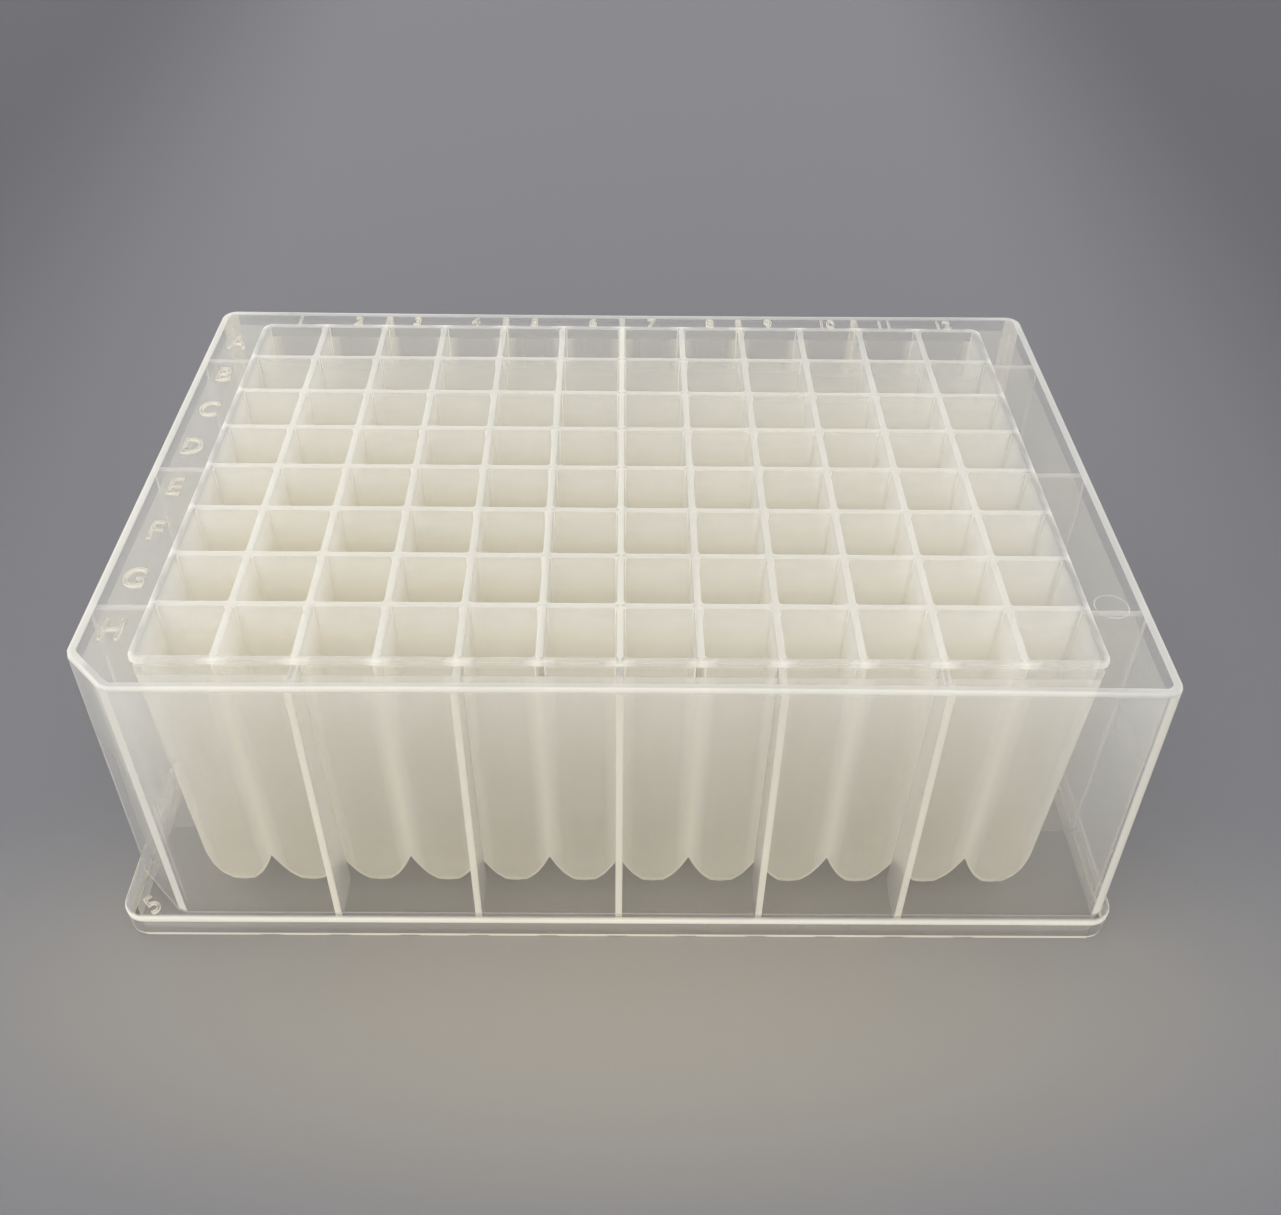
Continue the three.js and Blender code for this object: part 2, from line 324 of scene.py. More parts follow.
def skirtRing(z, inset):
    # Outline of the skirt at height z, moved inwards by inset. The sizes change evenly with t, the
    # share of the way up. The cut's legs shrink by inset * (2 - sqrt(2)), and the radii by inset,
    # but not below a third. The long sides draw in by bow * t * (1 - (x / half)^2), which fades in
    # over the last tenth of the way out to them
    t = (z - shell["flangeHeight"]) / (skirtTop - shell["flangeHeight"])
    halfX, halfY = (f + (s - f) * t - inset for f, s in zip(shell["footHalf"], shell["topHalf"]))
    leg = shell["cutFoot"] + (shell["cutTop"] - shell["cutFoot"]) * t - inset * (2 - math.sqrt(2))
    radius = max(shell["corner"] - inset, shell["corner"] / 3)
    ring = outline(halfX, halfY, radius, leg, max(shell["cutBlend"] - inset, shell["cutBlend"] / 3))
    drawIn = shell["bow"] * max(t, 0) * (1 - (ring[:, 0] / halfX) ** 2)
    onLongSide = np.clip((np.abs(ring[:, 1]) - halfY * 0.9) / (halfY * 0.1), 0, 1)
    ring[:, 1] -= np.sign(ring[:, 1]) * drawIn * onLongSide
    return ring


def flangeRing(inset):
    # Outline of the foot flange, moved inwards by inset
    return outline(flangeHalf[0] - inset, flangeHalf[1] - inset, shell["flangeCorner"] - inset)


def columnBands(ring, half):
    # exp(-(a / width)^2), where a is how far a point is from the nearest wall between two columns,
    # or between two rows on the block's two ends
    onEnds = np.abs(ring[:, 0]) > half[0] - 0.01  # a hundredth of a millimetre off still counts
    along = np.where(onEnds, ring[:, 1], ring[:, 0])
    shift = np.where(onEnds, block["rows"], block["columns"]) % 2 * halfPitch
    away = (along + shift + halfPitch) % block["pitch"] - halfPitch
    return np.exp(-(away / cloud["bandWidth"]) ** 2)


def skirtCloud(z, bands=1.0):
    # The skirt's cloudiness: skirt + (haze + ends) * (z / top)^2, where ends rises evenly beyond
    # the wells on the two long sides, and a milky band up each corner
    x, y = skirtRing(z, 0).T
    onLongSides = np.abs(y) > np.abs(y).max() * 0.98  # the bow draws them in by less than that
    inside, beyond = cloud["endReach"]
    pastWells = np.clip((np.abs(x) - waistHalf[0] + inside) / (inside + beyond), 0, 1)
    ends = pastWells * onLongSides * np.where(x < 0, *cloud["endHaze"])
    milk = cloud["skirt"] + (cloud["haze"] + ends) * np.clip(z / skirtTop, 0, 1) ** 2
    # Points are counted from the middle of the cut corner, so these four are its two edges
    milk[[3, 4, -4, -3]] = cloud["cutEdge"] * bands
    turn = np.arange(1 - cornerPoints, cornerPoints)
    for corner in (gridX, gridX + gridY, 2 * gridX + gridY):
        milk[corner + turn] = cloud["cornerBand"] * bands
    return milk


skin = Skin()

# Underside: a U along each column, U height = rise * (u / half)^power, with a rounded notch
# between two rows; the two are blended by the fourth root of the sum of their fourth powers
lineX = lineUp(cellX, block["columns"], waistHalf[0])
lineY = lineUp(cellY, block["rows"], waistHalf[1])
flatX, flatY = np.meshgrid(lineX, lineY, indexing="ij")
column = np.clip(np.floor(flatX / block["pitch"] + block["columns"] / 2), 0, block["columns"] - 1)
row = np.clip(np.floor(flatY / block["pitch"] + block["rows"] / 2), 0, block["rows"] - 1)
u = flatX - (column - (block["columns"] - 1) / 2) * block["pitch"]
v = flatY - (row - (block["rows"] - 1) / 2) * block["pitch"]
uRise = block["bottomRise"] * np.abs(u / block["bottomHalf"]) ** block["bottomPower"]
outerRow = ((row == 0) & (v < 0)) | ((row == block["rows"] - 1) & (v > 0))
reach = np.where(outerRow, block["endBreak"], block["notch"])
toEdge = np.where(outerRow, block["bottomHalf"], halfPitch) - np.abs(v)
q = np.clip(1 - toEdge / reach, 0, 1)
notchRise = reach * (1 - np.sqrt(1 - q * q))
underHeight = block["clearance"] + (uRise ** 4 + notchRise ** 4) ** 0.25
roundX, roundY = roundCorners(flatX, flatY, waistHalf[0], waistHalf[1], block["corner"])
underside = np.stack([roundX, roundY, underHeight], axis=-1)
skin.add(underside, np.full(underHeight.shape, cloud["underside"]), closed=False)
underBorder = underHeight[borderI, borderJ]

# Rims and wells, all 96 at once: rings from the cell's outline over the rim, down the drafted
# walls and into the floor
edge = block["edge"]
topX = lineUp(cellX, block["columns"], rimsHalf[0] - edge)
topY = lineUp(cellY, block["rows"], rimsHalf[1] - edge)
cells = np.meshgrid(np.arange(block["columns"]), np.arange(block["rows"]))
cellColumn, cellRow = (a.ravel() for a in cells)
centreX = (cellColumn - (block["columns"] - 1) / 2) * block["pitch"]
centreY = (cellRow - (block["rows"] - 1) / 2) * block["pitch"]
cellEdgeX = topX[cellColumn[:, None] * stepsX + ringI]
cellEdgeY = topY[cellRow[:, None] * stepsY + ringJ]
cellEdgeX, cellEdgeY = roundCorners(
    cellEdgeX, cellEdgeY, rimsHalf[0] - edge, rimsHalf[1] - edge, block["corner"] - edge)
unitX, unitY = cellX[ringI] / halfPitch, cellY[ringJ] / halfPitch
mouthHalf, floorHalf = block["mouth"] / 2, block["waist"] / 2


def wellRing(half, radius):
    # A well's outline: the cell's border points drawn in to this half width, corners rounded
    return roundCorners(unitX * half, unitY * half, half, half, radius)


def wellHalf(z):
    # Half width of a well at height z, which shrinks evenly from the rims to the waist
    return mouthHalf - (mouthHalf - floorHalf) * (rimHeight - z) / (rimHeight - waistHeight)


def floorDepth(x, y):
    # The floor's depth below the waist: D * (1 - (x / a)^power) * (1 - (y / a)^n)^(1 / n)
    across = np.clip(1 - np.abs(x / floorHalf) ** block["bottomPower"], 0, 1)
    along = np.clip(1 - np.abs(y / floorHalf) ** block["floorEnd"], 0, 1) ** (1 / block["floorEnd"])
    return (waistHeight - floorHeight) * across * along


# A wall between two wells looks cloudier than a thin outer wall, and its ends in the corners more
# so. The product of a point's place in its cell and of its cell's place in the block, both from
# -1 to 1, is 1 only on the walls that face the outside of the block
inCorner = (np.abs(unitX) == 1) & (np.abs(unitY) == 1)
onEndWall = unitX * (2 * cellColumn - block["columns"] + 1)[:, None] == block["columns"] - 1
onLongWall = unitY * (2 * cellRow - block["rows"] + 1)[:, None] == block["rows"] - 1
# Painted shade: the walls between wells get clearer, and so darker, towards row A at the back
towardsBack = np.clip((centreY[:, None] + unitY * halfPitch) / rimsHalf[1], 0, 1) ** 2
wallCloud = cloud["well"] * (1 - cloud["backShade"] * towardsBack)
wallCloud = np.where(onEndWall, cloud["endWell"], wallCloud)
wallCloud = np.where(onLongWall, cloud["backWell"], wallCloud)
wallCloud = np.where(inCorner, np.maximum(wallCloud, cloud["wellCorner"]), wallCloud)
# The rims of the walls between columns are milkier near the middle, by exp(-(x / pitch)^2)
wallX = centreX[:, None] + unitX * halfPitch
nearMiddle = np.where(np.abs(unitX) == 1, np.exp(-(wallX / block["pitch"]) ** 2), 0)
rimCloud = cloud["rim"] + (cloud["middleRim"] - cloud["rim"]) * nearMiddle
rimCloud = np.where(onEndWall | onLongWall, cloud["blockRim"], rimCloud)

edgeCloud = np.minimum(rimCloud, cloud["rimEdge"])
# Painted light: the walls are clearest just under the rims and milkiest a little lower, against the
# shade that falls down them
topCloud = np.where(inCorner, wallCloud, wallCloud * cloud["wellTop"])
brightCloud = np.where(inCorner, wallCloud, wallCloud * cloud["wellPaintedLight"])
brightHeight, midHeight = rimHeight - block["paintedLightDepth"], (rimHeight + waistHeight) / 2
wellLevels = [  # half width, height and cloudiness of each ring
    (mouthHalf + edge, rimHeight, rimCloud),
    (mouthHalf + edge * arcShare, rimHeight - edge * arcShare, edgeCloud),
    (mouthHalf, rimHeight - edge, topCloud),
    (wellHalf(brightHeight), brightHeight, brightCloud),
    (wellHalf(midHeight), midHeight, wallCloud),
]
rings = [np.stack([cellEdgeX, cellEdgeY, np.full_like(cellEdgeX, rimHeight)], axis=-1)]
clouds = [rimCloud]
for half, z, milk in wellLevels:
    x, y = wellRing(half, block["mouthRadius"])
    x, y = centreX[:, None] + x, centreY[:, None] + y
    rings.append(np.stack([x, y, np.full_like(x, z)], axis=-1))
    clouds.append(milk)
for share in block["floorSteps"]:
    x, y = (share * a for a in wellRing(floorHalf, block["mouthRadius"]))
    z = waistHeight - floorDepth(x, y) * np.ones((len(centreX), 1))
    rings.append(np.stack([centreX[:, None] + x, centreY[:, None] + y, z], axis=-1))
    milk = wallCloud if share == 1 else cloud["floor"]
    clouds.append(np.broadcast_to(milk, z.shape))
skin.add(np.stack(rings, axis=1), np.stack(clouds, axis=1), closed=True)
print("wells:", len(centreX))

# Everything round the block, as rings carried along one profile: from the rims down to the deck,
# over the skirt's rim, down outside, round the flange and back up inside to the block's underside
fillet, inner, top = shell["fillet"], shell["innerEdge"], shell["topEdge"]
wall, flangeEdge, footEdge = shell["wall"], shell["flangeEdge"], shell["footEdge"]
flangeTop, flangeWall = shell["flangeHeight"], shell["flangeWall"]
profile = []


def take(ring, z, milk):
    # Adds one ring to the profile: its outline, height and cloudiness
    z = np.broadcast_to(z, len(ring))
    profile.append((np.column_stack([ring, z]), np.broadcast_to(milk, len(ring))))


def takeBetween(shares, last, z, milk):
    # Rings between the last one taken and another: start + (last - start) * share
    start = profile[-1][0][:, :2]
    for share in shares:
        take(start + (last - start) * share, z, milk)


# Down the outside of the block's rim to the deck
wallEnds = columnBands(blockRing(rimsHalf), rimsHalf)
rimMilk = cloud["blockRim"] + (cloud["middleRim"] - cloud["blockRim"]) * wallEnds
bandedWall = cloud["blockWall"] + cloud["columnBand"] * wallEnds
take(blockRing(rimsHalf, -edge), rimHeight, rimMilk)
take(blockRing(rimsHalf, -edge * arcShare), rimHeight - edge * arcShare, rimMilk)
take(blockRing(rimsHalf), rimHeight - edge, bandedWall)
take(blockRing(rimsHalf), deckTop + fillet, bandedWall)
take(blockRing(rimsHalf, fillet * arcShare), deckTop + fillet * arcShare, cloud["deck"])
take(blockRing(rimsHalf, fillet), deckTop, cloud["deck"])
# Across the deck and up inside the skirt's rim
takeBetween(shell["deckSteps"], skirtRing(deckTop, wall + fillet), deckTop, cloud["deck"])
take(skirtRing(deckTop, wall + fillet * arcShare), deckTop + fillet * arcShare, cloud["deck"])
take(skirtRing(skirtTop - inner, wall), skirtTop - inner, cloud["skirt"])
take(skirtRing(skirtTop, wall - inner * arcShare), skirtTop - inner * arcShare, cloud["rimEdge"])
# Over the flat rim, which is clearer along the long sides
rimOuter = skirtRing(skirtTop, top)
longSide = np.abs(rimOuter[:, 0]) < shell["topHalf"][0] - shell["longRimEnd"]
flatMilk = np.where(longSide, cloud["longRim"], cloud["skirtRim"])
take(skirtRing(skirtTop, wall - inner), skirtTop, flatMilk)
# The rim's rounded outer edge carries a painted highlight
take(skirtRing(skirtTop, shell["rimHighlight"]), skirtTop, flatMilk)
take(rimOuter, skirtTop, cloud["rimHighlight"])
take(skirtRing(skirtTop, top * arcShare), skirtTop - top * arcShare, cloud["rimHighlight"])
take(skirtRing(skirtTop - top, 0), skirtTop - top, cloud["rimEdge"])
# Down outside and out over the ledge
for z in (skirtTop - shell["hazeTop"], *reversed(shell["hazeLevels"]), flangeTop + fillet):
    take(skirtRing(z, 0), z, skirtCloud(z))
take(skirtRing(flangeTop, -fillet * arcNear), flangeTop + fillet * arcFar, cloud["skirt"])
take(skirtRing(flangeTop, -fillet * arcShare), flangeTop + fillet * arcShare, cloud["skirtFoot"])
take(skirtRing(flangeTop, -fillet * arcFar), flangeTop + fillet * arcNear, cloud["ledge"])
take(skirtRing(flangeTop, -fillet), flangeTop, cloud["ledge"])
take(flangeRing(flangeEdge), flangeTop, cloud["ledge"])
# Down the flange's face, with a painted highlight, drawn as a milky band, at its top and its foot
highlightEnd, highlightGone = (flangeTop - depth for depth in shell["flangeHighlight"])
footHighlightEnd, footHighlightGone = shell["footHighlightBand"]
# The flange's rounded top edge and the band below it carry a painted highlight
take(flangeRing(flangeEdge * arcShare), flangeTop - flangeEdge * arcShare, cloud["flangeEdgeHighlight"])
take(flangeRing(0), flangeTop - flangeEdge, cloud["flangeHighlight"])
take(flangeRing(0), highlightEnd, cloud["flangeHighlight"])
take(flangeRing(0), highlightGone, cloud["flange"])
take(flangeRing(0), footHighlightGone, cloud["flange"])
# The foot carries a painted highlight
take(flangeRing(0), footHighlightEnd, cloud["footHighlight"])
take(flangeRing(footEdge * arcShare), footEdge * arcShare, cloud["footHighlight"])
take(flangeRing(footEdge), 0, cloud["footHighlight"])
# Across the foot, up inside the flange and back in under the ledge
take(flangeRing(shell["footLine"]), 0, cloud["flange"])
take(flangeRing(flangeWall - footEdge), 0, cloud["flange"])
take(flangeRing(flangeWall), footEdge, cloud["flange"])
take(flangeRing(flangeWall), ledgeUnder - fillet, cloud["flange"])
take(flangeRing(flangeWall + fillet * arcShare), ledgeUnder - fillet * arcShare, cloud["flange"])
take(flangeRing(flangeWall + fillet), ledgeUnder, cloud["ledge"])
take(skirtRing(ledgeUnder, wall - inner), ledgeUnder, cloud["ledge"])
# Up inside the skirt, across under the deck and down the outside of the block
take(skirtRing(ledgeUnder + inner, wall), ledgeUnder + inner, cloud["skirt"])
for z in (*shell["hazeLevels"], deckUnder - fillet):
    take(skirtRing(z, wall), z, skirtCloud(z, bands=cloud["innerBands"]))
take(skirtRing(deckUnder, wall + fillet * arcShare), deckUnder - fillet * arcShare, cloud["deck"])
take(skirtRing(deckUnder, wall + fillet), deckUnder, cloud["deck"])
underHalf = blockHalf(deckUnder)
takeBetween(shell["deckSteps"], blockRing(underHalf, fillet), deckUnder, cloud["deck"])
take(blockRing(underHalf, fillet * arcShare), deckUnder - fillet * arcShare, cloud["deck"])
# Cloudiness here is wall + max(band, glow), where glow fades as exp(-height / glowHeight)
for share in block["wallSteps"]:
    z = underBorder + (deckUnder - fillet - underBorder) * share
    half = blockHalf(deckUnder * share + waistHeight * (1 - share))
    ring = blockRing(half)
    glow = cloud["glow"] * np.exp(-(z - underBorder) / cloud["glowHeight"])
    milk = cloud["blockWall"] + np.maximum(cloud["columnBand"] * columnBands(ring, half), glow)
    if share in block["wallSteps"][-2:]:
        milk = np.maximum(milk, cloud["lowerEdge"])
    take(ring, z, milk)
points, clouds = (np.stack(part) for part in zip(*profile))
skin.add(points[None], clouds[None], closed=True)
print("profile rings:", len(profile), "of", len(borderI), "points")

# Ribs under the deck. Each is a thin upright plate from the block's wall to just behind the outer
# face of the skirt: a closed ring in plan, carried up from the flange to just under the deck's face
ribs = {
    "thickness": 0.88,
    "afterColumns": (2, 4, 6, 8, 10),
    "afterRows": (1, 4, 7),
    "bite": 0.25,            # how far the root stands in the block's wall
    "skin": 0.05,            # plastic between the rib and the faces that it shows through
    "endDepth": 0.25,        # the milky outer end, and the milky top
    "topDepth": 0.2,
    "endWidth": 0.92,        # the outer end's width against the rib's
    "heights": (2.8, 12, 22, 32, 41),
}


def addRibs(places, axis):
    # Ribs at these places on both ends of axis 0, the short sides, or 1, the long sides. Each is
    # milky across its outer end and clear along its two sides, and its outer end follows the
    # skirt: foot + (top - foot) * t - bow * t * (1 - (x / half)^2)
    top = deckTop - ribs["skin"]
    z = np.array(ribs["heights"][:1] + ribs["heights"] + (top - ribs["topDepth"], top, top))
    t = (z - shell["flangeHeight"]) / (skirtTop - shell["flangeHeight"])
    footOut, topOut = shell["footHalf"][axis], shell["topHalf"][axis]
    straight = footOut + (topOut - footOut) * t - ribs["skin"]
    profileAcross = np.array([-1, -1, -ribs["endWidth"], ribs["endWidth"], 1, 1])
    width = np.tile(profileAcross * ribs["thickness"] / 2, (len(z), 1))
    width[[0, -1]] = 0  # the foot and the top are closed on their middle lines
    clear, milky = (cloud["rib"], cloud["ribEnd"]) if axis else (cloud["sideRib"], cloud["sideRibEnd"])
    milk = np.tile(clear + (milky - clear) * np.array([0, 0, 1, 1, 0, 0]), (len(z), 1))
    milk[-2:] = cloud["ribTop"]
    level = np.broadcast_to(z[:, None], width.shape)
    for place in places:
        bow = shell["bow"] * (1 - (place / shell["topHalf"][0]) ** 2) if axis else 0
        end = straight - bow * np.clip(t, 0, 1)
        root, behindEnd = np.full_like(end, waistHalf[axis] - ribs["bite"]), end - ribs["endDepth"]
        reach = np.stack([root, behindEnd, end, end, behindEnd, root], axis=1)
        for side in (-1, 1):
            across, outwards = place + width * side * (1 if axis else -1), reach * side
            parts = (across, outwards, level) if axis else (outwards, across, level)
            skin.add(np.stack(parts, axis=-1)[None], milk[None], closed=True)


addRibs([(c - block["columns"] / 2) * block["pitch"] for c in ribs["afterColumns"]], 1)
addRibs([(block["rows"] / 2 - r) * block["pitch"] for r in ribs["afterRows"]], 0)
print("ribs:", 2 * (len(ribs["afterColumns"]) + len(ribs["afterRows"])))


def addPiece(data, name, material):
    # A mesh as an object at the origin, smoothly shaded, in one material
    piece = bpy.data.objects.new(name, data)
    bpy.context.scene.collection.objects.link(piece)
    data.materials.append(material)
    data.shade_smooth()
    return piece


class Nodes:
    # Adds nodes to a material or world: each socket gets a value, or a link from another node

    def __init__(self, owner):
        owner.use_nodes = True
        self.tree = owner.node_tree

    def add(self, kind, sockets=None, **settings):
        node = self.tree.nodes.new(kind)
        for key, value in settings.items():
            setattr(node, key, value)
        for key, value in (sockets or {}).items():
            if isinstance(value, bpy.types.NodeSocket):
                self.tree.links.new(value, node.inputs[key])
            else:
                node.inputs[key].default_value = value
        return node

    def maths(self, operation, *values, clamp=False):
        sockets = dict(enumerate(values))
        return self.add("ShaderNodeMath", sockets, operation=operation, use_clamp=clamp).outputs[0]

    def vector(self, operation, *values):
        sockets = dict(enumerate(values))
        return self.add("ShaderNodeVectorMath", sockets, operation=operation)

    def blend(self, colourA, colourB, share):
        sockets = {"A": colourA, "B": colourB, "Factor": share}
        return self.add("ShaderNodeMix", sockets, data_type="RGBA").outputs["Result"]

    def fade(self, value, start, end, curve):
        # 0 up to start and 1 from end, with an eased curve between them
        sockets = {"Value": value, "From Min": start, "From Max": end}
        return self.add("ShaderNodeMapRange", sockets, interpolation_type=curve).outputs["Result"]

    def mixShaders(self, share, shaderA, shaderB):
        sockets = {0: share, 1: shaderA.outputs[0], 2: shaderB.outputs[0]}
        return self.add("ShaderNodeMixShader", sockets)


# Finish: a thin wall lets most of the light through and scatters the rest cool and bluish, and
# the more plastic there is behind a face, the more it scatters and the warmer it looks
finish = {
    "thinColour": (0.987, 1, 1, 1),
    "thickColour": (0.966, 0.944, 0.882, 1),
    "warmth": 0.67,          # below 1 the warm tone sets in at less cloudiness
    "edgeColour": (0.925, 0.885, 0.765, 1),
    "edgeFrom": (0.4, 0.9),  # cloudiness over which the tone goes on to the edge colour
    "throughColour": (1, 0.9925, 0.979, 1),
    "behind": 0.775,         # share of the scattered light that comes from behind, where it is thin
    "slant": 0.8,            # how much more plastic a slanting look crosses
    "level": 0.85,           # cloudiness against the surface's own value, where the drift is lowest
    "drift": 0.3,            # and how much a slow drift adds to that
    "driftScale": 45.0,      # per metre
    "lean": (-2.12, -1.62, 0),  # painted light and shade: how much cloudier per metre towards +X and +Y, here negative, so lighter towards -X and -Y and darker towards +X and +Y
    "shine": (0.04, 0.6),    # mirror share seen square on, and what a grazing look adds
    "shineRoughness": 0.16,
    "waveScale": 160.0,      # per metre
    "waveStrength": 0.3,
    "waveHeight": 0.0003,
}


def naturalPolypropylene():
    # cloudy = cloud * (level + drift * noise + lean . place), through = (1 - cloudy)^(1 / (1 -
    # slant * facing)), and what doesn't get through scatters in the tint, from behind or in front
    material = bpy.data.materials.new("natural_polypropylene")
    nodes = Nodes(material)
    nodes.tree.nodes.clear()
    place = nodes.add("ShaderNodeTexCoord").outputs["Object"]
    depth = nodes.add("ShaderNodeAttribute", attribute_name="cloud").outputs["Fac"]
    noise = {"Scale": finish["driftScale"], "Detail": 1.0, "Vector": place}
    drift = nodes.add("ShaderNodeTexNoise", noise).outputs["Fac"]
    # Painted light and shade: lean . place makes the plastic cloudier, and so lighter, on the left and
    # front, and clearer, and so darker, on the right and back
    across = nodes.vector("DOT_PRODUCT", place, finish["lean"]).outputs["Value"]
    steady = nodes.maths("ADD", across, finish["level"])
    level = nodes.maths("ADD", nodes.maths("MULTIPLY", drift, finish["drift"]), steady)
    cloudy = nodes.maths("MULTIPLY", depth, level, clamp=True)

    # A slanting look crosses more plastic
    facing = nodes.add("ShaderNodeLayerWeight", {"Blend": 0.5}).outputs["Facing"]
    shortened = nodes.maths("SUBTRACT", 1.0, nodes.maths("MULTIPLY", facing, finish["slant"]))
    clearShare = nodes.maths("SUBTRACT", 1.0, cloudy)
    through = nodes.maths("POWER", clearShare, nodes.maths("DIVIDE", 1.0, shortened), clamp=True)

    warm = nodes.maths("POWER", cloudy, finish["warmth"])
    tint = nodes.blend(finish["thinColour"], finish["thickColour"], warm)
    edgeOn = nodes.fade(cloudy, *finish["edgeFrom"], "SMOOTHSTEP")
    colour = nodes.blend(tint, finish["edgeColour"], edgeOn)
    inFront = nodes.add("ShaderNodeBsdfDiffuse", {"Color": colour})
    fromBehind = nodes.add("ShaderNodeBsdfTranslucent", {"Color": colour})
    behind = nodes.maths("MULTIPLY", clearShare, finish["behind"])
    scatter = nodes.mixShaders(behind, inFront, fromBehind)
    clear = nodes.add("ShaderNodeBsdfTransparent", {"Color": finish["throughColour"]})
    body = nodes.mixShaders(through, scatter, clear)

    # Shine = square + grazing * facing^5, over faces that are very slightly wavy
    wave = {"Scale": finish["waveScale"], "Detail": 0.0, "Vector": place}
    bump = nodes.add("ShaderNodeBump", {
        "Strength": finish["waveStrength"],
        "Distance": finish["waveHeight"],
        "Height": nodes.add("ShaderNodeTexNoise", wave).outputs["Fac"],
    })
    shine = nodes.add("ShaderNodeBsdfGlossy", {
        "Roughness": finish["shineRoughness"], "Normal": bump.outputs[0]})
    squareOn, grazing = finish["shine"]
    slanting = nodes.maths("MULTIPLY", nodes.maths("POWER", facing, 5.0), grazing)
    surface = nodes.mixShaders(nodes.maths("ADD", slanting, squareOn), body, shine)
    nodes.add("ShaderNodeOutputMaterial", {"Surface": surface.outputs[0]})
    return material


plastic = naturalPolypropylene()
plateMesh = skin.mesh("plate")
solid = bmesh.new()
solid.from_mesh(plateMesh)
bmesh.ops.recalc_face_normals(solid, faces=solid.faces)
openEdges = sum(not e.is_manifold for e in solid.edges)
solid.to_mesh(plateMesh)
solid.free()
plate = addPiece(plateMesh, "plate", plastic)
even = plate.modifiers.new("even shading", "WEIGHTED_NORMAL")
even.weight = 80  # above 50, so that large faces draw the normals towards their own
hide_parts("well_plate")
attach(plate, "root")
print("plate:", len(plateMesh.vertices), "points,", len(plateMesh.polygons), "faces,",
      openEdges, "open edges")

# Raised marks in the same plastic: row letters, column numbers, the mould's cavity digit and the
# ring that an ejector pin leaves. Each is a flat outline given a little height and a rounded edge
marks = {
    "capitals": 0.7,         # height of a capital against the font's size
    "narrow": 0.84,          # width of the characters against the font's
    "rowHeight": 3.4,
    "rowPlace": (-57.7, 0.45),  # x of the letters, and how far each sits beyond its row's centre
    "columnHeight": 2.3,
    "columnPlace": 38.6,
    "cavityHeight": 2.9,
    "cavityPlace": (-59.9, -41.0),
    "cavityTurn": 45,
    "relief": 0.24,
    "edge": 0.07,
    "drawIn": 0.042,         # how far an outline draws in, so that its edge doesn't fatten it
    "pinRing": (57.5, -25.9, 2.0),
    "pinRingFlat": 0.6,      # height of the ring's bead against its width
    "pinRingReach": 0.5,     # points this near the ring are its own
    "weld": 0.002,           # points this near become one
}


def glyph(text, height, x, y, z, turn=0.0):
    # One word as a mesh: its outline raised by relief, turned, and moved to its place
    curve = bpy.data.curves.new(text, "FONT")
    curve.body, curve.size = text, height / marks["capitals"] * metre
    curve.align_x, curve.align_y = "CENTER", "CENTER"
    curve.extrude = (marks["relief"] - marks["edge"]) * metre
    curve.bevel_depth, curve.bevel_resolution = marks["edge"] * metre, 1
    curve.offset = -marks["drawIn"] * metre
    curve.resolution_u = 4
    holder = bpy.data.objects.new(text, curve)
    mesh = bpy.data.meshes.new_from_object(holder)
    bpy.data.objects.remove(holder)
    moved = Matrix.Translation((x * metre, y * metre, z * metre))
    placed = moved @ Matrix.Rotation(math.radians(turn), 4, "Z")
    mesh.transform(placed @ Matrix.Diagonal((marks["narrow"], 1, 1, 1)))
    return mesh


def pinRing(x, y, radius):
    # A low bead round a circle: r = radius + bead * cos(b), z = deck + bead * flat * sin(b)
    aroundSteps, beadSteps, bead = 48, 8, marks["edge"]
    around = np.linspace(0, 2 * math.pi, aroundSteps + 1)[:-1]
    section = np.linspace(0, 2 * math.pi, beadSteps + 1)[:-1]
    around, section = np.meshgrid(around, section)
    spread = radius + bead * np.cos(section)
    z = deckTop + bead * marks["pinRingFlat"] * np.sin(section)
    points = np.stack([x + spread * np.cos(around), y + spread * np.sin(around), z], axis=-1)
    closed = np.concatenate([points, points[:1]])[None]
    ring = Skin()
    ring.add(closed, np.full(closed.shape[:3], cloud["mark"]), closed=True)
    return ring.mesh("pin ring")


lettering = bmesh.new()
letterX, beyondCentre = marks["rowPlace"]
for row in range(block["rows"]):
    y = ((block["rows"] - 1) / 2 - row) * block["pitch"] + beyondCentre
    lettering.from_mesh(glyph("ABCDEFGH"[row], marks["rowHeight"], letterX, y, deckTop))
for number in range(1, block["columns"] + 1):
    x = (number - (block["columns"] + 1) / 2) * block["pitch"]
    lettering.from_mesh(glyph(str(number), marks["columnHeight"], x, marks["columnPlace"], deckTop))
lettering.from_mesh(glyph(
    "5", marks["cavityHeight"], *marks["cavityPlace"], shell["flangeHeight"], marks["cavityTurn"]))
lettering.from_mesh(pinRing(*marks["pinRing"]))
bmesh.ops.remove_doubles(lettering, verts=lettering.verts, dist=marks["weld"] * metre)
bmesh.ops.recalc_face_normals(lettering, faces=lettering.faces)
markMesh = bpy.data.meshes.new("marks")
lettering.to_mesh(markMesh)
lettering.free()

